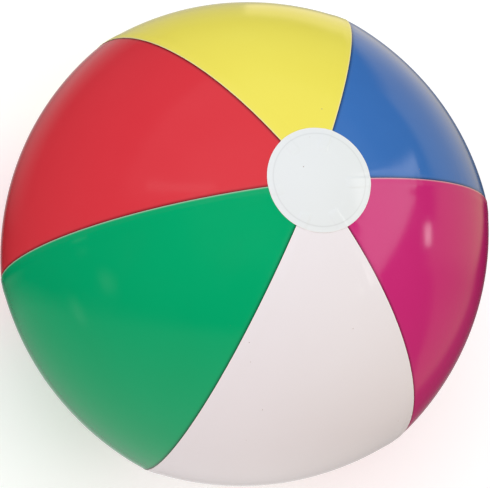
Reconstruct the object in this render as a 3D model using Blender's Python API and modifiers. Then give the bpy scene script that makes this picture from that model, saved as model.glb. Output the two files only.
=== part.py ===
"""Inflatable beach ball of about 0.33 m, blown up and standing on its lower end disc.

Six gores of thin PVC film run from end to end and overlap in welded laps. A round
film disc covers the gore tips at each end. A push-in valve sits in the middle of the
blue gore: a weld flange, a flexible skirt, the stem, a stopper on a strap and a check
flap inside.

Frame: metres, the ball's polar axis is +Z, z = 0 is the flat under the lower disc, and
+X runs through the middle of the blue gore and along the valve.
"""

import math

import bmesh
import bpy

# The ball.
MIDDLE_RADIUS = 0.1635  # centre to the outer skin at the middle of a gore and at the poles
SEAM_SHARE = 0.019  # how much further out a seam stands at the equator, as a share
FOOT_RADIUS = 0.020  # the flat patch that the ball's weight presses into the lower disc
FILM = 0.00025
GAP = 0.0003  # between two pieces that touch or are welded on the real ball

# The gores, in order round the ball from +X. A gore lies over a neighbour of a lower layer.
GORES = (
    ("blue", 0, (62, 116, 184)),
    ("yellow", 2, (234, 226, 96)),
    ("red", 0, (216, 60, 70)),
    ("green", 1, (0, 166, 105)),
    ("white", 2, (232, 232, 234)),
    ("pink", 1, (200, 48, 125)),
)
HALF_GORE = math.pi / len(GORES)
LAP = 0.005  # width of a welded lap
LAP_ROOM = 0.0004  # past the lower film's edge, before the upper film steps down
LAP_STEP = 0.0012  # the run over which the upper film steps down
LAP_RAISE = FILM + GAP
GORE_COLUMNS = 6  # between the laps
GORE_ROWS = 18
TIP_POLAR = math.radians(10.5)  # where the gores are cut off, from the pole

# The end discs.
DISC_POLAR = math.radians(12.4)
DISC_RAISE = 2 * LAP_RAISE + GAP  # clears the raised laps and the ends of their ridges
DISC_RINGS = 4
DISC_STEPS = 36  # sides of a turned disc

# The valve, along its own axis from the film's outer skin: + is out of the ball.
HOLE_RADIUS = 0.0097  # in the film
FLANGE_RADII = (0.0094, 0.0155)
FLANGE_THICKNESS = 0.0006
SKIRT_TOP = (0.0090, 0.0001)  # radius and height of its outer face
SKIRT_SHOULDER = (0.0088, -0.0008)
SKIRT_FOOT = (0.0057, -0.0070)
SKIRT_THICKNESS = 0.0005
STEM_RADIUS = 0.00475
BORE_RADIUS = 0.00325
STEM_TOP = 0.0012
STEM_END = -0.015
HEAD_RADIUS = 0.0056
HEAD_THICKNESS = 0.0015
PLUG_TIP_RADIUS = 0.0022
PLUG_DEPTH = 0.0040  # below the stem's rim
STRAP_WIDTH = 0.004
STRAP_THICKNESS = 0.0008
STRAP_HINGE = 0.0082  # from the stem's axis
LUG_THICKNESS = 0.0007
FLAP_RADIUS = 0.0041
FLAP_HINGE = 0.0043  # from the stem's axis
FLAP_THICKNESS = 0.0006
EAR_WIDTH = 0.0036
EAR_INSET = 0.0001  # keeps the ear's faces off the flap's
ROUND_STEPS = 32  # sides of a turned valve piece
MERGE = 0.00001

DISC_RADIUS = MIDDLE_RADIUS + DISC_RAISE
CENTRE_HEIGHT = math.sqrt(DISC_RADIUS**2 - FOOT_RADIUS**2)
HEAD_BASE = STEM_TOP + GAP
STRAP_HINGE_HEIGHT = STEM_TOP + GAP / 2
FLAP_TOP = STEM_END - GAP
FLAP_HINGE_HEIGHT = STEM_END - GAP / 2
DISC_WHITE = (232, 236, 240)
VALVE_WHITE = (226, 228, 230)
FILM_ROUGHNESS = 0.25
VALVE_ROUGHNESS = 0.35


def clear_scene():
    for old in list(bpy.data.objects):
        bpy.data.objects.remove(old, do_unlink=True)


def new_collection(name):
    collection = bpy.data.collections.new(name)
    bpy.context.scene.collection.children.link(collection)
    return collection


def linear(channel):
    """An 8-bit sRGB channel as the linear value that a shader takes."""
    share = channel / 255
    if share <= 0.04045:
        return share / 12.92
    return ((share + 0.055) / 1.055) ** 2.4


def plastic(name, colour, roughness):
    material = bpy.data.materials.new(name)
    material.use_nodes = True
    shader = material.node_tree.nodes["Principled BSDF"]
    shader.inputs["Base Color"].default_value = (*map(linear, colour), 1)
    shader.inputs["Roughness"].default_value = roughness
    shader.inputs["Metallic"].default_value = 0
    return material


def new_object(name, mesh, material, collection):
    thing = bpy.data.objects.new(name, mesh)
    if material:
        mesh.materials.append(material)
    collection.objects.link(thing)
    return thing


def new_empty(name, parent, location, collection):
    empty = bpy.data.objects.new(name, None)
    empty.empty_display_size = 0.01
    empty.parent = parent
    empty.location = location
    collection.objects.link(empty)
    return empty


def add_solidify(thing, thickness):
    """Gives an open surface its thickness, on the side away from its normals."""
    solidify = thing.modifiers.new("thickness", "SOLIDIFY")
    solidify.thickness = thickness
    solidify.offset = -1


def add_boolean(thing, other, operation):
    boolean = thing.modifiers.new(operation.lower(), "BOOLEAN")
    boolean.operation = operation
    boolean.object = other
    boolean.solver = "EXACT"


def turned(name, profile, closed, material, collection, steps=ROUND_STEPS):
    """A profile of (radius, height) points turned about Z. It runs down its outer side."""
    mesh = bpy.data.meshes.new(name)
    edges = [(i, i + 1) for i in range(len(profile) - 1)]
    if closed:
        edges.append((len(profile) - 1, 0))
    mesh.from_pydata([(radius, 0, height) for radius, height in profile], edges, [])
    thing = new_object(name, mesh, material, collection)
    screw = thing.modifiers.new("turn", "SCREW")
    screw.axis = "Z"
    screw.steps = steps
    screw.render_steps = steps
    screw.use_merge_vertices = True
    screw.merge_threshold = MERGE
    screw.use_smooth_shade = True
    return thing


def box_mesh(name, low, high):
    """A box between two corners."""
    mesh = bpy.data.meshes.new(name)
    cage = bmesh.new()
    bmesh.ops.create_cube(cage, size=1)
    for vertex in cage.verts:
        for axis in range(3):
            vertex.co[axis] = low[axis] + (vertex.co[axis] + 0.5) * (high[axis] - low[axis])
    cage.to_mesh(mesh)
    cage.free()
    return mesh


def as_helper(thing):
    """Marks a cutter or a shape that is joined into another one."""
    thing.hide_render = True
    thing.display_type = "WIRE"
    return thing


# The film ball.


def skin_radius(polar, azimuth):
    """Centre to the outer skin of the lower film layer. The section across the axis is a
    rounded hexagon with its corners at the seams, and it turns round at the poles."""
    from_middle = (azimuth + HALF_GORE) % (2 * HALF_GORE) - HALF_GORE
    corner = (1 / math.cos(from_middle) - 1) / (1 / math.cos(HALF_GORE) - 1)
    return MIDDLE_RADIUS * (1 + SEAM_SHARE * corner * math.sin(polar) ** 2)


def edge_lines(polar, over):
    """(angle in from the seam, raise) of the grid lines along one edge, from the edge in."""
    if over:
        lines = (
            (0, LAP_RAISE),
            (LAP, LAP_RAISE),
            (LAP + LAP_ROOM, LAP_RAISE),
            (LAP + LAP_ROOM + LAP_STEP, 0),
        )
    else:
        lines = ((-LAP, 0), (0, 0))
    girth = MIDDLE_RADIUS * math.sin(polar)
    return [(inwards / girth, height) for inwards, height in lines]


def gore_lines(polar, over_first, over_last):
    """(azimuth from the gore's middle, raise) of each grid line that crosses this row."""
    first = [(angle - HALF_GORE, up) for angle, up in edge_lines(polar, over_first)]
    last = [(HALF_GORE - angle, up) for angle, up in edge_lines(polar, over_last)]
    start, end = first[-1][0], last[-1][0]
    inner = [(start + (end - start) * i / GORE_COLUMNS, 0) for i in range(1, GORE_COLUMNS)]
    return first + inner + last[::-1]


def make_gore(index, material, collection):
    """One gore: a grid bent onto the ball's skin, with its laps raised where it is on top."""
    name, layer, _ = GORES[index]
    over_first = layer > GORES[index - 1][1]
    over_last = layer > GORES[(index + 1) % len(GORES)][1]
    middle = 2 * HALF_GORE * index
    columns = len(gore_lines(math.pi / 2, over_first, over_last)) - 1

    grid = bmesh.new()
    bmesh.ops.create_grid(grid, x_segments=columns, y_segments=GORE_ROWS, size=1)
    for vertex in grid.verts:
        column = round((vertex.co.x + 1) / 2 * columns)
        polar = math.pi - TIP_POLAR - (vertex.co.y + 1) / 2 * (math.pi - 2 * TIP_POLAR)
        angle, height = gore_lines(polar, over_first, over_last)[column]
        radius = skin_radius(polar, middle + angle) + height
        vertex.co = (
            radius * math.sin(polar) * math.cos(middle + angle),
            radius * math.sin(polar) * math.sin(middle + angle),
            radius * math.cos(polar),
        )
    mesh = bpy.data.meshes.new(f"gore_{name}")
    grid.to_mesh(mesh)
    grid.free()
    mesh.shade_smooth()
    gore = new_object(f"gore_{name}", mesh, material, collection)
    gore.location.z = CENTRE_HEIGHT
    add_solidify(gore, FILM)
    return gore


def disc_profile(foot):
    """(radius, height from the ball's centre) from the pole to the disc's edge. With a foot,
    the middle is pressed flat and the points are those of the lower disc."""
    start = math.asin(FOOT_RADIUS / DISC_RADIUS) if foot else 0
    rings = DISC_RINGS - 1 if foot else DISC_RINGS
    polars = [start + (DISC_POLAR - start) * i / rings for i in range(rings + 1)]
    arc = [(DISC_RADIUS * math.sin(p), DISC_RADIUS * math.cos(p)) for p in polars]
    if not foot:
        return arc
    return [(radius, -height) for radius, height in [(0, arc[0][1]), *arc]][::-1]


def make_end_discs(material, collection):
    for name, foot in (("end_disc_top", False), ("end_disc_bottom", True)):
        disc = turned(name, disc_profile(foot), False, material, collection, DISC_STEPS)
        disc.location.z = CENTRE_HEIGHT
        add_solidify(disc, FILM)


# The valve. Each piece is drawn in the valve's frame: Z along its axis, out of the ball.


def on_film(radius, height):
    """A point this high above the ball's skin, at this radius from the valve's axis."""
    return (radius, math.sqrt((MIDDLE_RADIUS + height) ** 2 - radius**2) - MIDDLE_RADIUS)


def make_flange(mouth, material, collection):
    """A washer that follows the ball's skin, which is welded round the hole in the film."""
    inner, outer = FLANGE_RADII
    top = GAP + FLANGE_THICKNESS
    middle = (inner + outer) / 2
    profile = [on_film(radius, top) for radius in (inner, middle, outer)]
    profile += [on_film(radius, GAP) for radius in (outer, middle, inner)]
    turned("valve_flange", profile, True, material, collection).parent = mouth


def make_skirt(mouth, material, collection):
    """The thin cone that turns inside out when the stem is pulled out."""
    profile = (SKIRT_TOP, SKIRT_SHOULDER, SKIRT_FOOT)
    skirt = turned("valve_skirt", profile, False, material, collection)
    skirt.parent = mouth
    add_solidify(skirt, SKIRT_THICKNESS)


def make_stem(mouth, material, collection, helpers):
    """The tube, with the lug that its stopper's strap hangs on."""
    profile = (
        (BORE_RADIUS, STEM_TOP),
        (STEM_RADIUS, STEM_TOP),
        (STEM_RADIUS, STEM_END),
        (BORE_RADIUS, STEM_END),
    )
    stem = turned("valve_stem", profile, True, material, collection)
    stem.parent = mouth
    inside_wall = -(BORE_RADIUS + STEM_RADIUS) / 2
    low = (GAP - STRAP_HINGE, -STRAP_WIDTH / 2, STEM_TOP - LUG_THICKNESS)
    high = (inside_wall, STRAP_WIDTH / 2, STEM_TOP - GAP / 2)
    lug = as_helper(new_object("lug_shape", box_mesh("lug_shape", low, high), None, helpers))
    lug.parent = mouth
    add_boolean(stem, lug, "UNION")


def make_stopper(mouth, material, collection, helpers):
    """A tapered plug with a flat head, on a strap that bends just over the stem's lug."""
    hinge = new_empty(
        "stopper_hinge", mouth, (-STRAP_HINGE, 0, STRAP_HINGE_HEIGHT), collection
    )
    profile = (
        (0, HEAD_BASE + HEAD_THICKNESS),
        (HEAD_RADIUS, HEAD_BASE + HEAD_THICKNESS),
        (HEAD_RADIUS, HEAD_BASE),
        (BORE_RADIUS - GAP, HEAD_BASE),
        (PLUG_TIP_RADIUS, STEM_TOP - PLUG_DEPTH),
        (0, STEM_TOP - PLUG_DEPTH),
    )
    stopper = turned("stopper", profile, False, material, collection)
    inside_head = -(HEAD_RADIUS + BORE_RADIUS) / 2
    low = (-STRAP_HINGE, -STRAP_WIDTH / 2, HEAD_BASE + GAP / 2)
    high = (inside_head, STRAP_WIDTH / 2, HEAD_BASE + GAP / 2 + STRAP_THICKNESS)
    strap = as_helper(new_object("strap_shape", box_mesh("strap_shape", low, high), None, helpers))
    for piece in (stopper, strap):
        piece.parent = hinge
        piece.location = -hinge.location
    add_boolean(stopper, strap, "UNION")


def make_flap(mouth, material, collection, helpers):
    """The disc that air pressure shuts against the stem's inner end."""
    hinge = new_empty("flap_hinge", mouth, (-FLAP_HINGE, 0, FLAP_HINGE_HEIGHT), collection)
    bottom = FLAP_TOP - FLAP_THICKNESS
    profile = ((0, FLAP_TOP), (FLAP_RADIUS, FLAP_TOP), (FLAP_RADIUS, bottom), (0, bottom))
    flap = turned("check_flap", profile, False, material, collection)
    low = (-FLAP_HINGE, -EAR_WIDTH / 2, bottom + EAR_INSET)
    high = (-FLAP_RADIUS / 2, EAR_WIDTH / 2, FLAP_TOP - EAR_INSET)
    ear = as_helper(new_object("ear_shape", box_mesh("ear_shape", low, high), None, helpers))
    for piece in (flap, ear):
        piece.parent = hinge
        piece.location = -hinge.location
    add_boolean(flap, ear, "UNION")


def cut_valve_hole(gore, mouth, helpers):
    """Cuts the round hole in the film that the valve's skirt goes through."""
    mesh = bpy.data.meshes.new("valve_hole")
    drill = bmesh.new()
    bmesh.ops.create_cone(
        drill,
        cap_ends=True,
        segments=ROUND_STEPS,
        radius1=HOLE_RADIUS,
        radius2=HOLE_RADIUS,
        depth=HOLE_RADIUS,
    )
    drill.to_mesh(mesh)
    drill.free()
    cutter = as_helper(new_object("valve_hole", mesh, None, helpers))
    cutter.parent = mouth
    add_boolean(gore, cutter, "DIFFERENCE")


def main():
    clear_scene()
    ball = new_collection("beach_ball")
    helpers = new_collection("cutters")

    gores = {}
    for index, (name, _, colour) in enumerate(GORES):
        gores[name] = make_gore(index, plastic(f"film_{name}", colour, FILM_ROUGHNESS), ball)
    make_end_discs(plastic("film_disc", DISC_WHITE, FILM_ROUGHNESS), ball)

    mouth = new_empty("valve_mouth", None, (MIDDLE_RADIUS, 0, CENTRE_HEIGHT), ball)
    mouth.rotation_euler.y = math.pi / 2
    soft = plastic("valve_soft", VALVE_WHITE, VALVE_ROUGHNESS)
    cut_valve_hole(gores["blue"], mouth, helpers)
    make_flange(mouth, soft, ball)
    make_skirt(mouth, soft, ball)
    make_stem(mouth, soft, ball, helpers)
    make_stopper(mouth, soft, ball, helpers)
    make_flap(mouth, soft, ball, helpers)


main()
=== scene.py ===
# %% [markdown]
# # An inflatable beach ball of welded film
#
# The real ball is six gores of thin PVC film and two round end discs. Each gore overlaps its
# neighbours by a few millimetres, and a hot tool welds the overlap from end to end. A disc
# covers the six tips at each end, and a soft push-in valve is welded into one gore.
#
# The imported model already fixes the size, the place and the motion of every part. This script
# builds the same parts again at the fineness that a close look needs: film that swells between
# its seams, laps with a weld line, a valve of soft rounded plastic. Most pieces ride on the body
# of the part that they stand for; the skirt and the strap stay where they are built.

import math

import bmesh
import bpy
import numpy as np
from mathutils import Matrix, Vector


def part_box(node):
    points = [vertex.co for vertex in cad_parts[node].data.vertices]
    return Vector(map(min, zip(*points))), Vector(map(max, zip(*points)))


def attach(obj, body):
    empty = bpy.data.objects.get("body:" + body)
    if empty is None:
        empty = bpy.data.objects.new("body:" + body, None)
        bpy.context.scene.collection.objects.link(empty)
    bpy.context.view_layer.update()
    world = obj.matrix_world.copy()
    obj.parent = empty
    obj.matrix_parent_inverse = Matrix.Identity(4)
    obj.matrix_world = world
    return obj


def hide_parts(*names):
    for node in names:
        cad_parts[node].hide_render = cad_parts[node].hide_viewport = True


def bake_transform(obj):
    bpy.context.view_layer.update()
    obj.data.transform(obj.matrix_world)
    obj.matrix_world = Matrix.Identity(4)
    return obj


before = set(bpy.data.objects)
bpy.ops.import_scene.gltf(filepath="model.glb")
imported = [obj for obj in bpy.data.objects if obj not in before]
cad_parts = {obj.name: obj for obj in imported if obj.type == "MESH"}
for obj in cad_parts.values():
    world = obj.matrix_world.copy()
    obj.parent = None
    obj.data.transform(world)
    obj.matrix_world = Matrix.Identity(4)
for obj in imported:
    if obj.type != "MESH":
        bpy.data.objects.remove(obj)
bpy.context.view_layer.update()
MM = 0.001

# %% [markdown]
# ## Where the ball is
#
# The valve sits on the equator, so the middle of its flange gives the height of the ball's
# centre. Everything on the skin is then told by two angles: the polar angle down from the top
# disc, and the azimuth round the axis, which starts in the middle of the blue gore.

# %% Find the centre
flange_low, flange_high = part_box("valve_flange")
CENTRE = Vector((0, 0, (flange_low.z + flange_high.z) / 2))
MIDDLE_RADIUS = 163.5 * MM  # centre to the skin at the middle of a gore and at the poles
print("centre height:", round(CENTRE.z, 5), "m, valve mouth at x", round(flange_high.x, 5), "m")

# %% [markdown]
# ## The camera
#
# The ball is seen from high up, a little to one side of its axis, so one end disc faces the
# viewer and all six colours fan out from it. A long lens from two metres away keeps the
# outline as round as the ball is. The camera is also rolled: the axis leans towards the upper
# right of the picture, as it does on a ball that has rolled to a stop.

# %% Aim the camera
VIEW_AZIMUTH = math.radians(184.6)
VIEW_ELEVATION = math.radians(68.9)
VIEW_DISTANCE = 1.98
AXIS_LEAN = math.radians(42.0)  # of the ball's axis in the picture, up from the right
LENS = 214.5

toward = Vector(
    (
        math.cos(VIEW_AZIMUTH) * math.cos(VIEW_ELEVATION),
        math.sin(VIEW_AZIMUTH) * math.cos(VIEW_ELEVATION),
        math.sin(VIEW_ELEVATION),
    )
)
leaning = (Vector((0, 0, 1)) - toward * toward.z).normalized()
right = leaning * math.cos(AXIS_LEAN) - toward.cross(leaning) * math.sin(AXIS_LEAN)
up = toward.cross(right)
VIEW_TURN = Matrix((right, up, toward)).transposed().to_4x4()

camera_data = bpy.data.cameras.new("camera")
camera_data.lens = LENS
camera = bpy.data.objects.new("camera", camera_data)
camera.matrix_world = Matrix.Translation(CENTRE + toward * VIEW_DISTANCE) @ VIEW_TURN
bpy.context.scene.collection.objects.link(camera)
bpy.context.scene.camera = camera
print("camera at", [round(value, 3) for value in camera.location])

# %% [markdown]
# ## The skin that every film piece lies on
#
# Flat gores can't make a true sphere. Blown up, each one bulges in the middle of its width and
# stays nearly straight across, so a cut through the equator is a hexagon with very round
# sides, and the seams stand out as six soft ridges that fade towards the poles.
#
# One function gives the distance from the centre to the skin for any direction. All film
# pieces ask it, so neighbours always fit, however the skin is shaped.

# %% The gores and the ridges of their seams
GORES = ("blue", "yellow", "red", "green", "white", "pink")
LAYERS = {"blue": 0, "yellow": 2, "red": 0, "green": 1, "white": 2, "pink": 1}
HALF_GORE = math.pi / len(GORES)
RIDGE = 0.0225  # how much further out a seam stands at the equator, as a share
RIDGE_ROUNDING = math.radians(2.6)
RIDGE_FACTORS = np.array((1.0, 0.75, 1.0, 1.05, 1.05, 0.85))  # one per seam, from the blue gore on


def smooth(share):
    """Runs from 0 to 1 with level ends as the share runs from 0 to 1."""
    share = np.clip(share, 0, 1)
    return share * share * (3 - 2 * share)


def ridge_height(polar, azimuth):
    """How far the skin stands out from the middle radius because of the seam ridges."""
    seam = np.floor(azimuth / (2 * HALF_GORE)).astype(int) % len(GORES)
    from_seam = np.abs(azimuth / (2 * HALF_GORE) % 1 - 0.5) * 2 * HALF_GORE
    from_middle = np.maximum(0, HALF_GORE - np.hypot(from_seam, RIDGE_ROUNDING))
    corner = (1 / np.cos(from_middle) - 1) / (1 / math.cos(HALF_GORE) - 1)
    return MIDDLE_RADIUS * RIDGE * RIDGE_FACTORS[seam] * corner * np.sin(polar) ** 2


# %% [markdown]
# ## Puckers
#
# A weld shrinks a little as it cools, and the film beside it gathers into faint short waves
# that die out within a centimetre. The discs do the same to the ends of the gores, and so does
# the flange to the film round the valve. The waves are about a tenth of a millimetre high, but a
# glossy film shows them in every reflection.
#
# Sine waves whose pitch wanders look like gathers and are the same on each run.

# %% Waves along the seams, round the discs and round the valve
DISC_POLAR = math.radians(12.05)
SEAM_PUCKER = 0.05 * MM
SEAM_PUCKER_PITCH = 9 * MM
SEAM_PUCKER_REACH = 6 * MM
DISC_PUCKER = 0.06 * MM
DISC_PUCKER_REACH = 16 * MM
DISC_PUCKER_COUNTS = (17, 26, 39)
VALVE_PUCKER = 0.16 * MM
VALVE_PUCKER_REACH = 9 * MM
FLANGE_EDGE = 15.5 * MM


def wandering_wave(distance, pitch, shift):
    """A wave along a line whose pitch and height both wander."""
    turn = 2 * math.pi * distance / pitch
    wander = 1.7 * np.sin(turn / 4.3 + 2 * shift) + 0.9 * np.sin(turn / 7.9 - shift)
    swell = 0.55 + 0.45 * np.sin(turn / 6.1 + 3 * shift)
    return np.sin(turn + wander + shift) * swell


def seam_puckers(polar, azimuth):
    seam = np.floor(azimuth / (2 * HALF_GORE))
    across = np.abs(azimuth / (2 * HALF_GORE) % 1 - 0.5) * 2 * HALF_GORE * np.sin(polar)
    fade = np.exp(-across * MIDDLE_RADIUS / SEAM_PUCKER_REACH) * smooth(np.sin(polar) * 4 - 0.8)
    return SEAM_PUCKER * fade * wandering_wave(MIDDLE_RADIUS * polar, SEAM_PUCKER_PITCH, 1 + seam)


def disc_puckers(polar, azimuth):
    beyond = (np.minimum(polar, math.pi - polar) - DISC_POLAR) * MIDDLE_RADIUS
    fade = np.exp(-np.maximum(beyond, 0) / DISC_PUCKER_REACH) * smooth(1 + beyond / (3 * MM))
    wave = sum(
        np.sin(count * azimuth + 1.9 * count + 2.2 * np.sin(3 * azimuth + count))
        for count in DISC_PUCKER_COUNTS
    )
    return DISC_PUCKER * fade * wave / len(DISC_PUCKER_COUNTS)


def valve_puckers(polar, azimuth):
    across = MIDDLE_RADIUS * np.sin((azimuth + math.pi) % (2 * math.pi) - math.pi)
    along = MIDDLE_RADIUS * np.cos(polar)
    out = np.hypot(across, along)
    turn = np.arctan2(across, along)
    fade = np.exp(-np.maximum(out - FLANGE_EDGE, 0) / VALVE_PUCKER_REACH)
    near = (np.cos(azimuth) > 0) * smooth((out - FLANGE_EDGE) / (2 * MM))
    return VALVE_PUCKER * near * fade * np.sin(13 * turn + 1.6 * np.sin(4 * turn))


def skin_radius(polar, azimuth):
    """Centre to the outer face of the lower layer of film, in this direction."""
    puckers = sum(make(polar, azimuth) for make in (seam_puckers, disc_puckers, valve_puckers))
    return MIDDLE_RADIUS + ridge_height(polar, azimuth) + puckers


# %% [markdown]
# Gores are laid together by hand, so no seam keeps exactly to its sixth of the circle. The
# drift of each seam is part of the one function that turns two angles into a point. The middle
# of a gore doesn't drift, so the valve stays where it is.

# %% From two angles to a point
SEAM_DRIFTS = (0.65, 0.25, 0.55, -0.75, -0.35, -0.4)  # degrees, one per seam from the blue gore on


def drift(azimuth):
    """How far round the axis a point moves because its seam isn't quite in its place."""
    stops, drifts = [], []
    for index, seam_drift in enumerate(SEAM_DRIFTS):
        stops += [2 * HALF_GORE * index, 2 * HALF_GORE * (index + 0.5)]
        drifts += [0, math.radians(seam_drift)]
    return np.interp(azimuth, stops, drifts, period=2 * math.pi)


def on_skin(polar, azimuth, height):
    """Points this high above the lower film layer, as an array of x, y, z."""
    radius = skin_radius(polar, azimuth) + height
    sideways = radius * np.sin(polar)
    azimuth = azimuth + drift(azimuth)
    upright = CENTRE.z + radius * np.cos(polar)
    return np.stack((sideways * np.cos(azimuth), sideways * np.sin(azimuth), upright), axis=-1)


equator = skin_radius(np.full(720, math.pi / 2), np.linspace(0, 2 * math.pi, 720))
print("skin at the equator:", round(equator.min(), 5), "to", round(equator.max(), 5), "m")

# %% [markdown]
# ## From points to film
#
# A gore is a sheet, so its mesh is a grid of points: rows run round the ball, columns run from
# tip to tip. The grid's faces are joined up in code, and a Solidify modifier gives the sheet
# the thickness of the film, inwards from the skin. Masks for the materials, such as where a
# weld runs, are stored on the points.

# %% Grid meshes
FILM = 0.25 * MM


def grid_mesh(name, points, wraps=False):
    """A mesh of quads over rows and columns of points, which face up from the grid."""
    rows, columns = points.shape[:2]
    faces = []
    for row in range(rows - 1):
        for column in range(columns if wraps else columns - 1):
            beside = (column + 1) % columns
            here, below = row * columns, (row + 1) * columns
            faces.append((here + column, below + column, below + beside, here + beside))
    mesh = bpy.data.meshes.new(name)
    mesh.from_pydata(points.reshape(-1, 3).tolist(), [], faces)
    mesh.shade_smooth()
    return mesh


def add_piece(name, mesh):
    piece = bpy.data.objects.new(name, mesh)
    bpy.context.scene.collection.objects.link(piece)
    return piece


def add_solidify(piece, thickness):
    solidify = piece.modifiers.new("film", "SOLIDIFY")
    solidify.thickness = thickness
    solidify.offset = -1
    solidify.use_even_offset = True


def add_mask(mesh, name, values):
    """Stores one number per point, for a material to read."""
    mask = mesh.attributes.new(name, "FLOAT", "POINT")
    mask.data.foreach_set("value", np.asarray(values, np.float32).ravel())


# %% [markdown]
# ## Welded laps
#
# Where two gores meet, one lies on top. Its edge is the line where the colour changes, and the
# other film runs on beneath it for five millimetres. The welding tool leaves a shallow band
# along the middle of the lap, and it squeezes a fine bead out at the cut edge.
#
# The grid lines beside a seam keep their distance from it in millimetres, so the lap has the
# same width from tip to tip, while the columns between them spread with the gore.

# %% The cross-section of a lap
LIFT = FILM + 0.03 * MM  # of the upper film over the lower one
STEP_START = 5.1 * MM  # where the upper film begins to come down beyond the lap
STEP_RUN = 7.0 * MM
WELD_EDGES = (0.9 * MM, 3.9 * MM)
EDGE_WIDENING = 1.6  # how much wider than the bead the painted highlight and whitening are
SHADOW_WIDENING = 3.2  # how much wider than the bead the painted shade and dust beside it are
WELD_SINK = 0.02 * MM
BEAD_HEIGHT = 0.09 * MM
BEAD_WIDTH = 0.35 * MM
OVER_LINES = np.array((0, 0.12, 0.3, 0.5, 0.75, 1.1, 1.8, 3.0, 3.7, 4.1, 5.1, 6.3, 7.6, 9.0)) * MM
UNDER_LINES = np.array((-5.0, -4.1, -3.7, -2.4, -1.1, -0.75, -0.2, 0.1, 0.4, 1.0, 2.2, 4.0)) * MM


def weld_band(depth):
    """1 inside the weld, 0 outside it, for a distance in from the cut edge."""
    start, end = WELD_EDGES
    soft = 0.3 * MM
    return smooth((depth - start) / soft + 0.5) * smooth((end - depth) / soft + 0.5)


def cut_edge(inward):
    """1 at the cut edge of a film, falling to 0 within the width of the bead."""
    return np.exp(-((inward / BEAD_WIDTH) ** 2))


def lap_height(inward, over):
    """Height over the lower layer, for a distance in from the seam on one side of a gore."""
    if not over:
        return -WELD_SINK * weld_band(-inward)
    lifted = LIFT * (1 - smooth((inward - STEP_START) / STEP_RUN))
    return lifted + BEAD_HEIGHT * cut_edge(inward) - WELD_SINK * weld_band(inward)


# %% Build the six gores
TIP_POLAR = math.radians(8)
GORE_ROWS = 300
GORE_COLUMNS = 56


def gore_grid(over_first, over_last):
    """Polar angle, angle from the gore's middle and distance in from the seam, per point."""
    polar = np.linspace(TIP_POLAR, math.pi - TIP_POLAR, GORE_ROWS)[:, None]
    girth = MIDDLE_RADIUS * np.sin(polar)
    first = (OVER_LINES if over_first else UNDER_LINES) / girth - HALF_GORE
    last = HALF_GORE - (OVER_LINES if over_last else UNDER_LINES)[::-1] / girth
    share = np.linspace(0, 1, GORE_COLUMNS)[None, 1:-1]
    between = first[:, -1:] + (last[:, :1] - first[:, -1:]) * share
    angle = np.hstack((first, between, last))
    return np.broadcast_to(polar, angle.shape), angle, (HALF_GORE - np.abs(angle)) * girth


def make_gore(index):
    name = GORES[index]
    before, after = GORES[index - 1], GORES[(index + 1) % len(GORES)]
    over_first, over_last = LAYERS[name] > LAYERS[before], LAYERS[name] > LAYERS[after]
    polar, angle, inward = gore_grid(over_first, over_last)
    height = np.where(angle < 0, lap_height(inward, over_first), lap_height(inward, over_last))
    points = on_skin(polar, angle + 2 * HALF_GORE * index, height)
    mesh = grid_mesh(f"{name}_gore", points)
    add_mask(mesh, "weld", weld_band(np.abs(inward)))
    over = np.where(angle < 0, over_first, over_last)
    # Painted highlight, partly whitened film, along the upper film's cut edge.
    add_mask(mesh, "cut_edge", over * cut_edge(inward / EDGE_WIDENING))
    # Painted shade, partly dust, on the lower film beside the step of the upper film.
    add_mask(mesh, "seam_shadow", ~over * cut_edge(inward / SHADOW_WIDENING))
    return add_piece(f"{name}_gore", mesh)


gores = {name: make_gore(index) for index, name in enumerate(GORES)}
for name, gore in gores.items():
    add_solidify(gore, FILM)
print("points per gore:", [len(gore.data.vertices) for gore in gores.values()])

# %% [markdown]
# ## The hole for the valve
#
# The blue gore has a round hole in the middle. Faces whose middle lies inside the circle are
# taken out, and the points round the gap are moved onto the circle. The ring of the hole stays
# part of the gore's own grid, so the film round it keeps its even faces.

# %% Cut the hole
HOLE_RADIUS = 9.7 * MM


def from_valve_axis(point):
    return Vector((0, point[1], point[2] - CENTRE.z))


def cut_hole(piece):
    film = bmesh.new()
    film.from_mesh(piece.data)
    middles = {face: from_valve_axis(face.calc_center_median()) for face in film.faces}
    inside = [face for face, middle in middles.items() if middle.length < HOLE_RADIUS]
    bmesh.ops.delete(film, geom=inside, context="FACES")
    edge = [vertex for vertex in film.verts if vertex.is_boundary]
    rim = [vertex for vertex in edge if from_valve_axis(vertex.co).length < 1.3 * HOLE_RADIUS]
    for vertex in rim:
        away = from_valve_axis(vertex.co)
        onto = away.normalized() * HOLE_RADIUS
        vertex.co.y, vertex.co.z = onto.y, CENTRE.z + onto.z
    film.to_mesh(piece.data)
    film.free()
    return len(rim)


print("points round the valve's hole:", cut_hole(gores["blue"]))

# %% [markdown]
# ## The end discs
#
# A round patch of white film is welded over the six tips. It is a dome at the top, and below it
# is pressed flat where the ball stands on it. The laps of the gores show through the disc as
# faint ramps, and the round weld leaves a ring, darkened by painted shade, just inside its edge.
# The discs are laid on by hand too, and the top one sits a few millimetres off the axis.

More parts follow.
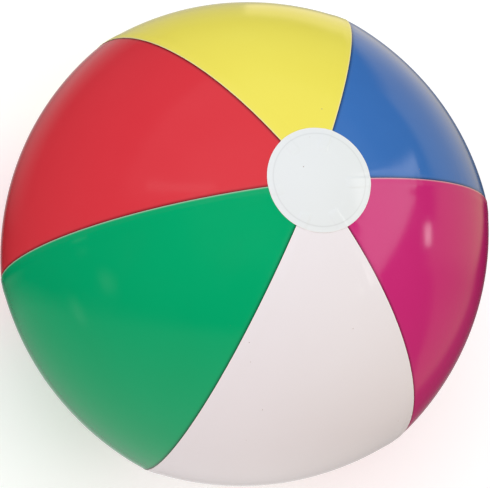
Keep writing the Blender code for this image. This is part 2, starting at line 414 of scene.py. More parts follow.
# %% Build both discs
DISC_STEPS = 360
DISC_RISE = LIFT + 0.02 * MM  # of the disc over the gores
DISC_EDGE_LINES = np.array((6.5, 5.2, 4.4, 4.0, 3.6, 3.2, 2.2, 1.1, 0.7, 0.4, 0.2, 0)) * MM
DISC_INNER_RINGS = 22
DISC_WELD_SINK = 0.05 * MM
DISC_GROOVE_SHADE = 0.16
TOP_DISC_SHIFT = 4.3 * MM
TOP_DISC_SHIFT_AZIMUTH = math.radians(-13)
TIP_STEP = 2.5 * MM  # how far the disc takes to come down from the tips of the gores
LAP_STEP = 1.4 * MM  # how far it takes to come down from a lap
FOOT_RADIUS = 20 * MM
FOOT_EASE = 9 * MM  # width of the ring round the foot that the weight still spreads
FOOT_SKIN = math.hypot(CENTRE.z, FOOT_RADIUS)  # centre to the skin at the edge of the foot


def lap_under_disc(polar, azimuth):
    """1 over a lap of two gores and 0 beside it, easing over the step of the film."""
    lap = np.zeros_like(polar + azimuth)
    girth = MIDDLE_RADIUS * np.sin(polar)
    for index, name in enumerate(GORES):
        over_next = LAYERS[name] > LAYERS[GORES[(index + 1) % len(GORES)]]
        seam = (2 * index + 1) * HALF_GORE
        past = ((azimuth - seam + math.pi) % (2 * math.pi) - math.pi) * girth
        depth = -past if over_next else past
        lap += smooth(depth / LAP_STEP + 1) * smooth((STEP_START + LAP_STEP - depth) / LAP_STEP)
    return lap


def laid_off_centre(polar, azimuth):
    """The directions of the top disc's points once its middle is moved off the pole."""
    turn = TOP_DISC_SHIFT / MIDDLE_RADIUS
    ahead = np.sin(polar) * np.cos(azimuth)
    aside = np.sin(polar) * np.sin(azimuth)
    upright = np.cos(polar)
    moved_ahead = ahead * math.cos(turn) + upright * math.sin(turn)
    moved_up = upright * math.cos(turn) - ahead * math.sin(turn)
    moved_polar = np.arctan2(np.hypot(moved_ahead, aside), moved_up)
    return moved_polar, np.arctan2(aside, moved_ahead) + TOP_DISC_SHIFT_AZIMUTH


def disc_grid():
    """Angle from the disc's middle, azimuth and distance in from its edge, per point."""
    edge = DISC_POLAR * MIDDLE_RADIUS
    first_edge_line = edge - DISC_EDGE_LINES[0]
    inner = np.linspace(0, first_edge_line, DISC_INNER_RINGS, endpoint=False)[1:]
    out = np.concatenate((inner, edge - DISC_EDGE_LINES))[:, None]
    azimuth = np.linspace(0, 2 * math.pi, DISC_STEPS, endpoint=False)[None, :]
    out, azimuth = np.broadcast_arrays(out, azimuth)
    return out / MIDDLE_RADIUS, azimuth, edge - out


def make_disc(name, foot):
    from_pole, azimuth, inward = disc_grid()
    if not foot:
        from_pole, azimuth = laid_off_centre(from_pole, azimuth)
    polar = math.pi - from_pole if foot else from_pole
    over_tips = smooth((from_pole - TIP_POLAR) * MIDDLE_RADIUS / TIP_STEP + 0.8)
    lap = lap_under_disc(np.maximum(from_pole, TIP_POLAR), azimuth)
    weld = weld_band(inward)
    height = DISC_RISE * (0.6 + 0.4 * over_tips) + LIFT * lap * over_tips
    height = height + BEAD_HEIGHT * cut_edge(inward) - DISC_WELD_SINK * weld
    points = on_skin(polar, azimuth, height)
    if foot:
        points = press_foot(points)[:, ::-1]
    mesh = grid_mesh(name, points, wraps=True)
    add_mask(mesh, "weld", weld)
    # Painted highlight, partly whitened film, along the disc's cut edge.
    add_mask(mesh, "cut_edge", cut_edge(inward))
    # Painted shade: darkens the film in the disc's weld groove.
    add_mask(mesh, "seam_shadow", DISC_GROOVE_SHADE * cut_edge(inward - WELD_EDGES[1]))
    disc = add_piece(name, mesh)
    close_middle(disc, points[0].mean(axis=0))
    add_solidify(disc, FILM)
    return disc


def press_foot(points):
    """Widens the lower end a little, as the weight does, and presses it flat at z = 0."""
    out = np.hypot(points[..., 0], points[..., 1])
    radius = np.sqrt(out**2 + (points[..., 2] - CENTRE.z) ** 2)
    share = smooth((FOOT_RADIUS + FOOT_EASE - out) / FOOT_EASE)
    grown = 1 + share * (FOOT_SKIN / radius - 1)
    pressed = points.copy()
    pressed[..., :2] *= grown[..., None]
    pressed[..., 2] = np.maximum(CENTRE.z + (points[..., 2] - CENTRE.z) * grown, 0)
    return pressed


def close_middle(disc, middle):
    """Fills the smallest ring with a fan of triangles round one middle point."""
    film = bmesh.new()
    film.from_mesh(disc.data)
    film.verts.ensure_lookup_table()
    ring = film.verts[:DISC_STEPS]
    hub = film.verts.new(middle)
    for step, vertex in enumerate(ring):
        film.faces.new((hub, vertex, ring[(step + 1) % DISC_STEPS]))
    for face in film.faces:
        face.smooth = True
    film.to_mesh(disc.data)
    film.free()


discs = {
    "end_disc_top": make_disc("top_disc", foot=False),
    "end_disc_bottom": make_disc("bottom_disc", foot=True),
}
print("points per disc:", [len(disc.data.vertices) for disc in discs.values()])

# %% [markdown]
# ## The valve
#
# The valve is one moulding of soft milky PVC, apart from its check flap. A thin flange is
# welded to the film. From its inner edge a cone of film-thin plastic, the skirt, leads down to
# the stem, so that the stem can be pushed in out of the way: the skirt then turns inside out.
# The stopper hangs on a short strap.
#
# Every valve piece but the strap is round: a profile of (radius, height) points turned about
# the valve's axis. Its corners are rounded first, because a moulded edge is never sharp.

# %% Turned shapes on the valve's axis
VALVE_STEPS = 96


def round_corners(profile, rounding, steps=4):
    """Cuts each corner of a closed profile and puts an arc of a few points in its place."""
    rounded = []
    for index, corner in enumerate(profile):
        here = np.array(corner)
        neighbours = profile[index - 1], profile[(index + 1) % len(profile)]
        sides = [np.array(neighbour) - here for neighbour in neighbours]
        lengths = [np.linalg.norm(side) for side in sides]
        reach = min(rounding, 0.45 * min(lengths))
        start, end = (here + side / length * reach for side, length in zip(sides, lengths))
        for step in range(steps + 1):
            share = step / steps
            point = (1 - share) ** 2 * start + 2 * share * (1 - share) * here + share**2 * end
            rounded.append(tuple(point))
    return rounded


def film_under(across, along):
    """How far out of the ball the film's skin is here, from the valve's mouth."""
    reach = np.sqrt(MIDDLE_RADIUS**2 - across**2 - along**2)
    polar = np.arccos(along / MIDDLE_RADIUS)
    azimuth = np.arctan2(across, reach)
    radius = skin_radius(polar, azimuth)
    return np.sqrt(radius**2 - across**2 - along**2) - MIDDLE_RADIUS


def turned(name, profile, rounding=None, follow_film=False):
    """A closed profile turned about the valve's axis. Heights are out of the ball."""
    if rounding:
        profile = round_corners(profile, rounding)
    radius, height = np.array(profile).T
    turn = np.linspace(0, 2 * math.pi, VALVE_STEPS, endpoint=False)
    across = radius[:, None] * np.sin(turn)[None, :]
    along = radius[:, None] * np.cos(turn)[None, :]
    out = np.broadcast_to(height[:, None], across.shape)
    if follow_film:
        out = out + film_under(across, along)
    points = np.stack((MIDDLE_RADIUS + out, across, CENTRE.z + along), axis=-1)
    mesh = grid_mesh(name, np.concatenate((points, points[:1])), wraps=True)
    piece = add_piece(name, mesh)
    solid = bmesh.new()
    solid.from_mesh(mesh)
    bmesh.ops.remove_doubles(solid, verts=solid.verts, dist=0.001 * MM)
    bmesh.ops.recalc_face_normals(solid, faces=solid.faces)
    solid.to_mesh(mesh)
    solid.free()
    return piece


def in_mm(*points):
    return [(radius * MM, height * MM) for radius, height in points]


# %% The flange and the skirt
def ribbed_flange():
    """A washer with two low rings moulded on its top face, thinning towards its edge."""
    top = []
    for radius in np.arange(9.5, 15.4, 0.1):
        ring = max(math.cos((radius - 10.8) * math.pi / 0.7), 0) if abs(radius - 10.8) < 0.35 else 0
        rim = max(math.cos((radius - 14.3) * math.pi / 0.9), 0) if abs(radius - 14.3) < 0.45 else 0
        thin = 0.62 - 0.2 * max(radius - 11.5, 0) / 4
        top.append((radius, thin + 0.22 * ring + 0.16 * rim))
    ends = [(15.5, 0.32), (15.52, 0.16), (15.45, 0.04), (9.4, 0.04), (9.35, 0.3)]
    return in_mm(*top, *ends)


flange = turned("flange", ribbed_flange(), follow_film=True)
skirt = turned(
    "skirt",
    in_mm(
        (9.55, 0.35), (9.1, 0.15), (8.75, -0.9), (7.6, -3.4), (6.3, -5.6), (5.2, -6.6),
        (4.7, -7.4), (4.6, -7.0), (4.9, -6.0), (5.9, -5.1), (7.2, -3.0), (8.3, -0.7),
        (8.75, 0.45), (9.3, 0.7)
    ),
    rounding=0.6 * MM,
)
print("flange and skirt points:", len(flange.data.vertices), len(skirt.data.vertices))

# %% The stem, the stopper and the check flap
stem = turned(
    "stem_tube",
    in_mm(
        (3.25, 1.2), (4.75, 1.2), (4.75, 0.2), (4.6, -0.1), (4.6, -14.2), (4.75, -14.4),
        (4.75, -15.0), (3.25, -15.0)
    ),
    rounding=0.35 * MM,
)
stopper = turned(
    "stopper_plug",
    in_mm(
        (0.02, 2.75), (2.6, 2.75), (3.2, 3.0), (5.6, 3.0), (5.6, 1.5), (3.0, 1.5),
        (2.9, 0.2), (3.05, -0.4), (2.2, -2.6), (1.2, -2.8), (0.02, -2.8)
    ),
    rounding=0.4 * MM,
)
flap = turned(
    "flap_disc",
    in_mm((0.02, -15.35), (4.1, -15.3), (4.1, -15.9), (0.02, -15.8)),
    rounding=0.2 * MM,
)
print("stem, stopper and flap points:", [len(p.data.vertices) for p in (stem, stopper, flap)])

# %% [markdown]
# ## The stopper's strap
#
# The strap is a flat strip in the shape of a U lying on its side. One leg is part of the stem's
# rim, the bend stands just outside the rim, and the other leg is part of the stopper's head.
# The bend is what the stopper turns on, and the strip runs from the stem to the stopper.

# %% Sweep a flat strip along the U
STRAP_HINGE = (8.2 * MM, 1.35 * MM)  # distance from the valve's axis, and height
STRAP_BEND = 0.5 * MM
STRAP_THICKNESS = 0.5 * MM
STRAP_WIDTH = 4.0 * MM


def strap_line():
    """Middle line of the strip as (distance from the axis, height), from stem to stopper."""
    far, middle = STRAP_HINGE
    lower = [(reach, middle - STRAP_BEND) for reach in np.linspace(4.2 * MM, far, 9)]
    turns = np.linspace(-math.pi / 2, math.pi / 2, 15)[1:-1]
    bend = [
        (far + STRAP_BEND * math.cos(turn), middle + STRAP_BEND * math.sin(turn)) for turn in turns
    ]
    upper = [(reach, middle + STRAP_BEND) for reach in np.linspace(far, 5.0 * MM, 9)]
    return np.array(lower + bend + upper)


def strip_section():
    """Rounded cross-section of the strip as (across, up from its middle line)."""
    half, thick = STRAP_WIDTH / 2, STRAP_THICKNESS / 2
    corners = ((-half, -thick), (half, -thick), (half, thick), (-half, thick))
    return np.array(round_corners(corners, 0.16 * MM, 3))


def make_strap():
    line = strap_line()
    along = np.gradient(line, axis=0)
    along /= np.linalg.norm(along, axis=1)[:, None]
    normal = np.stack((-along[:, 1], along[:, 0]), axis=1)
    across, lift = strip_section().T
    far, out = (line[:, axis, None] + normal[:, axis, None] * lift for axis in (0, 1))
    points = np.stack((MIDDLE_RADIUS + out, np.broadcast_to(across, out.shape), CENTRE.z + far), -1)
    mesh = grid_mesh("stopper_strap", points, wraps=True)
    strip = bmesh.new()
    strip.from_mesh(mesh)
    bmesh.ops.holes_fill(strip, edges=strip.edges, sides=0)
    bmesh.ops.recalc_face_normals(strip, faces=strip.faces)
    strip.to_mesh(mesh)
    strip.free()
    return add_piece("stopper_strap", mesh)


strap = make_strap()
print("strap points:", len(strap.data.vertices))

# %% [markdown]
# ## Finishes
#
# All the film is the same glossy PVC in different colours. What makes it read as film rather
# than paint is small: pigment that isn't quite even, a skin with a fine ripple from the
# calender rolls, duller welds, and specks of dust. Each effect is a node group, built once and
# placed in every material with its own values.

# %% Helpers for node trees
def linear(channel):
    """An 8-bit display value as the linear value that a shader takes."""
    share = channel / 255
    return share / 12.92 if share <= 0.04045 else ((share + 0.055) / 1.055) ** 2.4


def colour_of(*channels):
    return (*map(linear, channels), 1)


def new_group(name, inputs, outputs):
    """An empty node group with named sockets, and its input and output nodes."""
    group = bpy.data.node_groups.new(name, "ShaderNodeTree")
    for way, sockets in (("INPUT", inputs), ("OUTPUT", outputs)):
        for socket in sockets:
            kind = "NodeSocketColor" if "Colour" in socket else "NodeSocketFloat"
            group.interface.new_socket(socket, in_out=way, socket_type=kind)
    return group, group.nodes.new("NodeGroupInput"), group.nodes.new("NodeGroupOutput")


def feed(tree, node, inputs):
    """Links each named input to the given output of another node, or sets it to a value."""
    for name, given in inputs.items():
        if isinstance(given, bpy.types.NodeSocket):
            tree.links.new(given, node.inputs[name])
        else:
            node.inputs[name].default_value = given


def add_node(tree, kind, inputs=None, **values):
    """Adds a node, feeds its inputs, and sets its other inputs or its own settings."""
    made = tree.nodes.new(kind)
    for name, value in values.items():
        if hasattr(made, name):
            setattr(made, name, value)
        else:
            made.inputs[name.replace("_", " ")].default_value = value
    feed(tree, made, inputs or {})
    return made


def scaled_noise(tree, scale, detail, roughness=0.5, distortion=0.0):
    """Noise in the object's own coordinates, so that it stays on the piece as it moves."""
    place = add_node(tree, "ShaderNodeTexCoord").outputs["Object"]
    grain = {"Scale": scale, "Detail": detail, "Roughness": roughness, "Distortion": distortion}
    return add_node(tree, "ShaderNodeTexNoise", {"Vector": place, **grain}).outputs["Fac"]


def remap(tree, value, low, high, to_low, to_high):
    """Maps a range of values to another one, and holds it there."""
    ends = {"From Min": low, "From Max": high, "To Min": to_low, "To Max": to_high}
    return add_node(tree, "ShaderNodeMapRange", {"Value": value, **ends}).outputs["Result"]


def calculate(tree, operation, first, second=0.0):
    inputs = {0: first, 1: second}
    return add_node(tree, "ShaderNodeMath", inputs, operation=operation).outputs["Value"]


def times(tree, first, second):
    return calculate(tree, "MULTIPLY", first, second)


def mix_colours(tree, share, first, second):
    inputs = {0: share, 6: first, 7: second}
    return add_node(tree, "ShaderNodeMix", inputs, data_type="RGBA").outputs[2]


def new_material(name):
    """A material with its node tree and its shader."""
    material = bpy.data.materials.new(name)
    material.use_nodes = True
    return material, material.node_tree, material.node_tree.nodes["Principled BSDF"]


# %% [markdown]
# ### Pigment
#
# The colour is mixed into the plastic before it is rolled out. It comes out in broad clouds
# that are a shade deeper or paler, with a fine grain of pigment on top.

# %% The pigment group
def build_pigment():
    inputs = ["Colour", "Deep Colour", "Cloud", "Grain"]
    group, given, result = new_group("pigment", inputs, ["Colour"])
    clouds = remap(group, scaled_noise(group, 9, 3, 0.55, 0.4), 0.3, 0.7, 0, 1)
    share = times(group, clouds, given.outputs["Cloud"])
    clouded = mix_colours(group, share, given.outputs["Colour"], given.outputs["Deep Colour"])
    grain = remap(group, scaled_noise(group, 900, 2, 0.7), 0.35, 0.7, 0, 1)
    grain_share = times(group, grain, given.outputs["Grain"])
    grained = mix_colours(group, grain_share, clouded, given.outputs["Deep Colour"])
    feed(group, result, {"Colour": grained})
    return group


pigment = build_pigment()
print("pigment nodes:", len(pigment.nodes))

# %% [markdown]
# ### Rolled skin
#
# The rolls leave a soft ripple a few millimetres across and a much finer orange peel. Both are
# far too low to see as shape. They bend the edges of reflections.

# %% The rolled skin group
def build_rolled_skin():
    group, given, result = new_group("rolled_skin", ["Ripple", "Peel"], ["Height"])
    ripple = times(group, scaled_noise(group, 70, 2, 0.5), given.outputs["Ripple"])
    peel = times(group, scaled_noise(group, 800, 3, 0.6), given.outputs["Peel"])
    feed(group, result, {"Height": calculate(group, "ADD", ripple, peel)})
    return group


rolled_skin = build_rolled_skin()
print("rolled skin nodes:", len(rolled_skin.nodes))

# %% [markdown]
# ### Dust and handling marks
#
# A vinyl film is slightly tacky, so dust sticks to it, and hands leave broad dull smears. The
# group gives two masks: specks for the colour, smears for the roughness.

# %% The handling group
def build_handling():
    inputs = ["Speck Share", "Smear"]
    group, given, result = new_group("handling", inputs, ["Specks", "Smears"])
    place = add_node(group, "ShaderNodeTexCoord").outputs["Object"]
    cells = add_node(group, "ShaderNodeTexVoronoi", {"Vector": place}, Scale=240)
    dot = remap(group, cells.outputs["Distance"], 0.05, 0.11, 1, 0)
    chosen = add_node(group, "ShaderNodeSeparateColor", {"Color": cells.outputs["Color"]})
    threshold = calculate(group, "SUBTRACT", 1, given.outputs["Speck Share"])
    kept = calculate(group, "GREATER_THAN", chosen.outputs["Red"], threshold)
    smear = remap(group, scaled_noise(group, 26, 5, 0.6, 0.8), 0.45, 0.75, 0, 1)
    smears = times(group, smear, given.outputs["Smear"])
    feed(group, result, {"Specks": times(group, dot, kept), "Smears": smears})
    return group


handling = build_handling()
print("handling nodes:", len(handling.nodes))

# %% [markdown]
# ### Weld texture
#
# The welding tool has a finely knurled face. Where it pressed, the film is a little duller and
# carries a fine pattern. The mesh stores where the weld runs as a mask called weld.

# %% The weld group
def build_weld_texture():
    group, given, result = new_group("weld_texture", ["Mask"], ["Height", "Dulling"])
    place = add_node(group, "ShaderNodeTexCoord").outputs["Object"]
    inputs = {"Vector": place, "Scale": 1200}
    knurl = add_node(group, "ShaderNodeTexVoronoi", inputs, feature="SMOOTH_F1")
    height = times(group, knurl.outputs["Distance"], given.outputs["Mask"])
    uneven = remap(group, scaled_noise(group, 300, 2), 0.3, 0.7, 0.6, 1)
    dulling = times(group, uneven, given.outputs["Mask"])
    feed(group, result, {"Height": height, "Dulling": dulling})
    return group


weld_texture = build_weld_texture()
print("weld texture nodes:", len(weld_texture.nodes))

# %% [markdown]
# ### The film
#
# Glossy coloured PVC: pigment for the colour, handling marks over it, and a bump made of the
# rolled skin and the weld. The shader stays in the material, with the numbers that are the same
# all over set on its own sockets.

# %% Build the film materials
FILM_COLOURS = {
    # finish: (colour, deeper colour, cloud, share of specks, gloss level)
    "blue": ((60, 118, 192), (54, 108, 182), 0.6, 0.005, 0.4),
    "yellow": ((234, 232, 97), (230, 224, 87), 0.5, 0.002, 0.4),
    "red": ((214, 60, 70), (208, 52, 62), 0.6, 0.005, 0.4),
    "green": ((0, 171, 110), (0, 163, 102), 0.6, 0.008, 0.35),
    "white": ((219, 224, 229), (215, 218, 223), 0.6, 0.006, 0.4),
    "pink": ((198, 45, 123), (192, 39, 117), 0.6, 0.005, 0.4),
    "disc": ((220, 233, 235), (215, 228, 231), 0.5, 0.002, 0.4),
}
FILM_ROUGHNESS = 0.11
SMEARED_ROUGHNESS = 0.16
WELD_DULLING = 0.12  # added to the roughness where the weld runs
SPECK_COLOUR = colour_of(150, 141, 134)
EDGE_HIGHLIGHT_AND_WHITENING = colour_of(244, 240, 236)  # painted highlight where the cut edge catches light, partly film whitened by the cut and weld
EDGE_PALENESS = 0.45
SHADOW_VALUE = 0.22  # how bright the film stays under the painted shade and dust along a step
PAINTED_GLOW = {"white": 0.1, "disc": 0.03}  # painted glow: emission that stands in for light coming through the pale film from inside
PAINTED_GLOW_COLOUR = (1.0, 0.82, 0.8, 1)
SKIN_BUMP = 0.03 * MM


def place_group(tree, group, inputs=None, **values):
    return add_node(tree, "ShaderNodeGroup", inputs, node_tree=group, **values)


def read_mask(tree, name):
    """A mask that the mesh stores on its points."""
    return add_node(tree, "ShaderNodeAttribute", attribute_name=name).outputs["Fac"]


def film_material(name, colour, deep, cloud, speck_share, gloss):
    material, tree, shader = new_material(f"film_{name}")
    pigments = {"Colour": colour_of(*colour), "Deep Colour": colour_of(*deep)}
    colours = place_group(tree, pigment, pigments, Cloud=cloud, Grain=0.12)
    marks = place_group(tree, handling, Speck_Share=speck_share, Smear=1.0)
    specked = mix_colours(tree, marks.outputs["Specks"], colours.outputs["Colour"], SPECK_COLOUR)
    # Painted highlight, partly whitened film, along each cut edge.
    pale_edge = times(tree, read_mask(tree, "cut_edge"), EDGE_PALENESS)
    edged = mix_colours(tree, pale_edge, specked, EDGE_HIGHLIGHT_AND_WHITENING)
    # Painted shade, partly dust, along the steps of the laps and in the disc's weld groove.
    dark = add_node(tree, "ShaderNodeHueSaturation", {"Color": edged}, Value=SHADOW_VALUE)
    shaded = mix_colours(tree, read_mask(tree, "seam_shadow"), edged, dark.outputs["Color"])
    knurl = place_group(tree, weld_texture, {"Mask": read_mask(tree, "weld")})
    duller = times(tree, knurl.outputs["Dulling"], WELD_DULLING)
    smeared = remap(tree, marks.outputs["Smears"], 0, 1, FILM_ROUGHNESS, SMEARED_ROUGHNESS)
    roughness = calculate(tree, "ADD", smeared, duller)
    skin = place_group(tree, rolled_skin, Ripple=1.0, Peel=0.12)
    weld_height = times(tree, knurl.outputs["Height"], 0.5)
    height = calculate(tree, "ADD", skin.outputs["Height"], weld_height)
    bump = add_node(tree, "ShaderNodeBump", {"Height": height}, Distance=SKIN_BUMP, Strength=0.6)
    finish = {
        "Base Color": shaded,
        "Roughness": roughness,
        "Normal": bump.outputs["Normal"],
        "Specular IOR Level": gloss,
        # Painted glow on the pale film and the disc.
        "Emission Color": PAINTED_GLOW_COLOUR,
        "Emission Strength": PAINTED_GLOW.get(name, 0),
    }
    feed(tree, shader, finish)
    return material


films = {name: film_material(name, *values) for name, values in FILM_COLOURS.items()}
print("film materials:", sorted(films))

# %% [markdown]
# ### Soft valve plastic
#
# The valve is a thicker, milkier PVC. Some light goes into it and comes out again nearby, which
# softens its edges. It is less glossy than the film.

# %% Build the valve material
def valve_material():
    material, tree, shader = new_material("valve_soft")
    pigments = {"Colour": colour_of(226, 230, 232), "Deep Colour": colour_of(208, 216, 222)}
    colours = place_group(tree, pigment, pigments, Cloud=0.7, Grain=0.1)
    marks = place_group(tree, handling, Speck_Share=0.02, Smear=1.0)
    height = place_group(tree, rolled_skin, Ripple=0.4, Peel=0.6).outputs["Height"]
    bump = add_node(tree, "ShaderNodeBump", {"Height": height}, Distance=SKIN_BUMP, Strength=0.5)
    finish = {
        "Base Color": colours.outputs["Colour"],
        "Roughness": remap(tree, marks.outputs["Smears"], 0, 1, 0.32, 0.45),
        "Normal": bump.outputs["Normal"],
        "Subsurface Weight": 0.35,
        "Subsurface Radius": (0.8, 0.9, 1.0),
        "Subsurface Scale": 1.2 * MM,
    }
    feed(tree, shader, finish)
    return material


valve_soft = valve_material()
print("valve material nodes:", len(valve_soft.node_tree.nodes))

# %% [markdown]
# ## What each piece stands for
#
# Every piece but the strap takes the place of one imported part. Every piece but the strap and
# the skirt moves with its body; these two stay where they are built.


def dress(piece, material, slot, *nodes):
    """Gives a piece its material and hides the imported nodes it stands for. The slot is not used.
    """
    piece.data.materials.append(material)
    if nodes:
        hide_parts(*nodes)


for index, name in enumerate(GORES):
    dress(gores[name], films[name], f"film_{name}", f"gore_{name}")
    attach(gores[name], "root")

for node, disc in discs.items():
    dress(disc, films["disc"], "film_disc", node)
    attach(disc, "root")

for piece, nodes in (
    (flange, ["valve_flange"]),
    (skirt, ["valve_skirt"]),
    (stem, ["valve_stem"]),
    (stopper, ["stopper"]),
    (strap, []),
    (flap, ["check_flap"]),
):
    dress(piece, valve_soft, "valve_soft", *nodes)
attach(flange, "root")
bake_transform(skirt)
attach(stem, "stem")
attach(stopper, "stopper")
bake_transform(strap)
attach(flap, "check_flap")

# %% [markdown]
# ## Floor, lamps and sky
#
# Two things light a glossy ball. Broad light gives the colours and the round shading: a plain
# pale sky, a big soft lamp above the camera and the bounce from the floor. The gloss shows
# something else: a sharp little picture of whatever stands round the ball. If both came from
# the same bright sky, the gloss would lay a white veil over every colour.
#
# So the broad light is kept out of the gloss, and the sky shows the gloss its own surroundings:
# a dark room with a table below, a tall card and a small lamp at one side, a faint window above
# and a paler wall far behind the ball.

# %% The floor
FLOOR_HALF = 8.0
FLOOR_GLOW = 0.18  # what the floor gives the ball, beyond the light that it throws back
FLOOR_SEEN_GLOW = 0.3
FLOOR_GLOW_COLOUR = (1.0, 0.97, 0.965, 1)


def make_floor():
    steps = np.linspace(-FLOOR_HALF, FLOOR_HALF, 9)
    across, along = np.meshgrid(steps, steps)
    mesh = grid_mesh("floor", np.stack((across, along, np.zeros_like(across)), axis=-1))
    mesh.flip_normals()
    floor = add_piece("floor", mesh)
    material, tree, shader = new_material("pale_floor")
    tone = remap(tree, scaled_noise(tree, 3, 3), 0.3, 0.7, 0, 1)
    pale = mix_colours(tree, tone, colour_of(238, 248, 249), colour_of(235, 244, 246))
    rays = add_node(tree, "ShaderNodeLightPath")
    glow = remap(tree, rays.outputs["Is Camera Ray"], 0, 1, FLOOR_GLOW, FLOOR_SEEN_GLOW)
    finish = {
        "Base Color": pale,
        "Roughness": 0.9,
        "Specular IOR Level": 0.1,
        "Emission Color": FLOOR_GLOW_COLOUR,
        "Emission Strength": glow,
    }
    feed(tree, shader, finish)
    floor.data.materials.append(material)
    floor.visible_glossy = False
    return floor


make_floor()

# %% The lamp
LAMP_DISTANCE = 1.7


def add_lamp(name, across, rise, wide, high, brightness, colour):
    """A soft rectangular lamp that the gloss doesn't show. Its place and size are in degrees
    from the camera: across to the right, and up."""
    across, rise = math.radians(across), math.radians(rise)
    away = (
        right * math.sin(across) * math.cos(rise)
        + up * math.sin(rise)
        + toward * math.cos(across) * math.cos(rise)
    )
    side = up.cross(away).normalized()
    lamp = bpy.data.lights.new(name, "AREA")
    lamp.shape = "RECTANGLE"
    lamp.size = 2 * LAMP_DISTANCE * math.tan(math.radians(wide) / 2)
    lamp.size_y = 2 * LAMP_DISTANCE * math.tan(math.radians(high) / 2)
    lamp.energy = brightness * math.pi * lamp.size * lamp.size_y
    lamp.color = colour
    placed = bpy.data.objects.new(name, lamp)
    turn = Matrix((side, away.cross(side), away)).transposed().to_4x4()
    placed.matrix_world = Matrix.Translation(CENTRE + away * LAMP_DISTANCE) @ turn
    placed.visible_camera = False
    placed.visible_glossy = False
    bpy.context.scene.collection.objects.link(placed)
    print(name, "stands at height", round(placed.matrix_world.translation.z, 2), "m")


add_lamp("key", across=8, rise=20, wide=64, high=60, brightness=1.32, colour=(0.96, 1.0, 1.04))

# %% [markdown]
# ### What the gloss sees
#
# A direction in the sky is told by two angles, across and rise, measured from the camera's own
# axes. A panel is a soft-edged patch between two values of each. Its sides may lean, so a panel
# can be a slanted card. The panel is a node group, and the sky places it once for each thing.

# %% The panel group
PANEL_SHAPE = ("Left", "Right", "Low", "High", "Soft", "Left Lean", "Lean")


def build_panel():
    group, given, result = new_group("panel", ["Across", "Rise", *PANEL_SHAPE], ["Mask"])
    rise, soft = given.outputs["Rise"], given.outputs["Soft"]

    def past(value, edge):
        """Runs smoothly from 0 to 1 as the value goes past the edge."""
        half = times(group, soft, 0.5)
        inputs = {
            "Value": calculate(group, "SUBTRACT", value, edge),
            "From Min": times(group, half, -1),
            "From Max": half,
        }
        made = add_node(group, "ShaderNodeMapRange", inputs, interpolation_type="SMOOTHSTEP")
        return made.outputs["Result"]

    left_shift = times(group, rise, given.outputs["Left Lean"])
    right_shift = times(group, rise, given.outputs["Lean"])
    left = calculate(group, "ADD", given.outputs["Left"], left_shift)
    right_side = calculate(group, "ADD", given.outputs["Right"], right_shift)
    masks = (
        past(given.outputs["Across"], left),
        past(right_side, given.outputs["Across"]),
        past(rise, given.outputs["Low"]),
        past(given.outputs["High"], rise),
    )
    mask = masks[0]
    for other in masks[1:]:
        mask = times(group, mask, other)
    feed(group, result, {"Mask": mask})
    return group


panel = build_panel()
print("panel nodes:", len(panel.nodes))

# %% The things that stand round the ball
WHITE = (1.0, 1.0, 1.0)
PANELS = (
    # left, right, low, high, soft edge, lean of the left and the right side, brightness, colour
    ("tall_card", 55, 75, -32, 29, 4, 0.0, 0.95, 2.1, (1.0, 0.98, 0.97)),
    ("strip_lamp", 92.6, 96.9, -0.5, 5.5, 2.5, 0.0, 0.0, 5.5, (1.0, 0.97, 0.95)),
    ("far_side", 97, 148, -5, 42, 8, 0.5, 1.5, 0.62, (1.0, 0.8, 0.4)),
    ("far_side_low", 92, 145, -34, -5, 8, -0.9, 0.3, 0.36, (1.0, 0.8, 0.4)),
    ("window", -62, 75, 24, 82, 14, 0.0, 0.0, 0.22, (0.95, 0.98, 1.0)),
    ("shelf_edge", -50, -14, 27, 29.5, 2, 0.0, 0.0, 0.8, WHITE),
    ("spot_high", -81.5, -75.5, -6, 0, 6, 0.0, 0.0, 0.5, WHITE),
    ("spot_middle", -71, -64, -20, -14, 6, 0.0, 0.0, 0.5, WHITE),
    ("spot_low", -95, -89.5, -27, -21, 6, 0.0, 0.0, 0.5, WHITE),
)
TABLE_AXIS = (0.031, -0.961, -0.276)  # right, up and toward the camera
RIM_BRIGHTNESS = 0.5  # of the part of the wall that only the ball's outline shows
# Ramps over the cosine of the angle to an axis: from, to, and the two values at their ends
TABLE_EDGE = (0.3, 0.4, 0, 1)  # from the table's own axis
TABLE_SHINE = (0.34, 0.85, 0.22, 0.65)  # from the table's own axis
TABLE_SHADED_SIDE = (0.05, 0.4, 1, 0.15)  # to the right
BEHIND_BALL = (-0.62, -0.9, 0, 1)  # toward the camera
WALL_FOOT = (0.05, 0.35, 0, 1)  # up
WALL_SIDES = (-0.6, 0.6, 0.42, 0.38)  # to the right
RIM_EDGE = (-0.94, -1.0, 0, 1)  # toward the camera
RIM_SIDES = (0, 0.2, 1, 0.2)  # to the right
SKY_RIGHT_EDGE = (0, 0.9, 0, 1)  # to the lower right
SKY_LEFT_EDGE = (-0.1, -0.8, 0, 1)  # to the right
SKY_FOR_FILM = 0.62
SKY_SEEN = 1.0
SKY_COLOUR = (0.98, 0.97, 1.0, 1)
SKY_COLOUR_RIGHT = (1.36, 0.97, 0.68, 1)
SKY_COLOUR_LEFT = (1.4, 0.82, 0.88, 1)


def vector_math(tree, operation, inputs, output="Vector"):
    made = add_node(tree, "ShaderNodeVectorMath", inputs, operation=operation)
    return made.outputs[output]


def dot_with(tree, direction, axis):
    return vector_math(tree, "DOT_PRODUCT", {0: direction, 1: axis}, "Value")


def glowing(tree, mask, brightness, colour):
    """A mask as light of this brightness and colour."""
    light = [channel * brightness for channel in colour]
    return vector_math(tree, "SCALE", {0: light, "Scale": mask})


def add_light(tree, first, second):
    return vector_math(tree, "ADD", {0: first, 1: second})


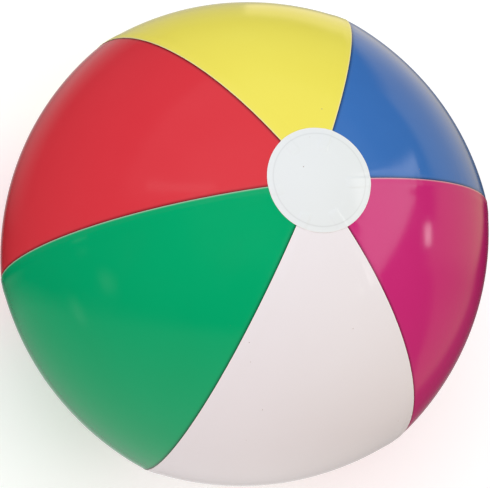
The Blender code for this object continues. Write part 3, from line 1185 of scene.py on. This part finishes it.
def mirrored_room(tree, direction):
    """The colour that the gloss sees in each direction of the sky."""
    rightward = dot_with(tree, direction, right)
    upward = dot_with(tree, direction, up)
    nearer = dot_with(tree, direction, toward)
    to_degrees = 180 / math.pi
    across = times(tree, calculate(tree, "ARCTAN2", rightward, nearer), to_degrees)
    rise = times(tree, calculate(tree, "ARCSINE", upward), to_degrees)

    axis = right * TABLE_AXIS[0] + up * TABLE_AXIS[1] + toward * TABLE_AXIS[2]
    onto_table = dot_with(tree, direction, axis)
    table = remap(tree, onto_table, *TABLE_EDGE)
    deep = remap(tree, onto_table, *TABLE_SHINE)
    shaded_side = remap(tree, rightward, *TABLE_SHADED_SIDE)
    table = times(tree, times(tree, table, deep), shaded_side)
    light = glowing(tree, table, 1.0, (1.0, 0.95, 0.93))

    wall = times(tree, remap(tree, nearer, *BEHIND_BALL), remap(tree, upward, *WALL_FOOT))
    wall = times(tree, wall, remap(tree, rightward, *WALL_SIDES))
    light = add_light(tree, light, glowing(tree, wall, 1.0, (1.0, 0.96, 0.95)))
    rim = times(tree, remap(tree, nearer, *RIM_EDGE), remap(tree, rightward, *RIM_SIDES))
    light = add_light(tree, light, glowing(tree, rim, RIM_BRIGHTNESS, WHITE))

    for name, *shape, brightness, colour in PANELS:
        inputs = {"Across": across, "Rise": rise, **dict(zip(PANEL_SHAPE, shape))}
        placed = place_group(tree, panel, inputs, name=name)
        light = add_light(tree, light, glowing(tree, placed.outputs["Mask"], brightness, colour))
    return light


def choose(tree, fact, if_not, if_so):
    inputs = {0: fact, 1: if_not, 2: if_so}
    return add_node(tree, "ShaderNodeMixShader", inputs).outputs["Shader"]


def make_sky():
    world = bpy.data.worlds.new("studio")
    world.use_nodes = True
    tree = world.node_tree
    tree.nodes.clear()
    rays = add_node(tree, "ShaderNodeLightPath")
    direction = add_node(tree, "ShaderNodeTexCoord").outputs["Generated"]
    lower_right = (right * 2 - up).normalized()
    to_right = remap(tree, dot_with(tree, direction, lower_right), *SKY_RIGHT_EDGE)
    to_left = remap(tree, dot_with(tree, direction, right), *SKY_LEFT_EDGE)
    plain = mix_colours(tree, to_right, SKY_COLOUR, SKY_COLOUR_RIGHT)
    plain = mix_colours(tree, to_left, plain, SKY_COLOUR_LEFT)
    lit = add_node(tree, "ShaderNodeBackground", {"Color": plain}, Strength=SKY_FOR_FILM)
    room = mirrored_room(tree, direction)
    mirrored = add_node(tree, "ShaderNodeBackground", {"Color": room}, Strength=1.0)
    seen = add_node(tree, "ShaderNodeBackground", {"Color": (1, 1, 1, 1)}, Strength=SKY_SEEN)
    in_gloss = choose(tree, rays.outputs["Is Glossy Ray"], lit.outputs[0], mirrored.outputs[0])
    shown = choose(tree, rays.outputs["Is Camera Ray"], in_gloss, seen.outputs[0])
    add_node(tree, "ShaderNodeOutputWorld", {"Surface": shown})
    world.cycles.sampling_method = "NONE"  # so that no ray mistakes one sky for the other
    bpy.context.scene.world = world
    print("sky nodes:", len(tree.nodes))


make_sky()
bpy.context.scene.view_settings.view_transform = "Standard"
bpy.context.scene.view_settings.look = "None"
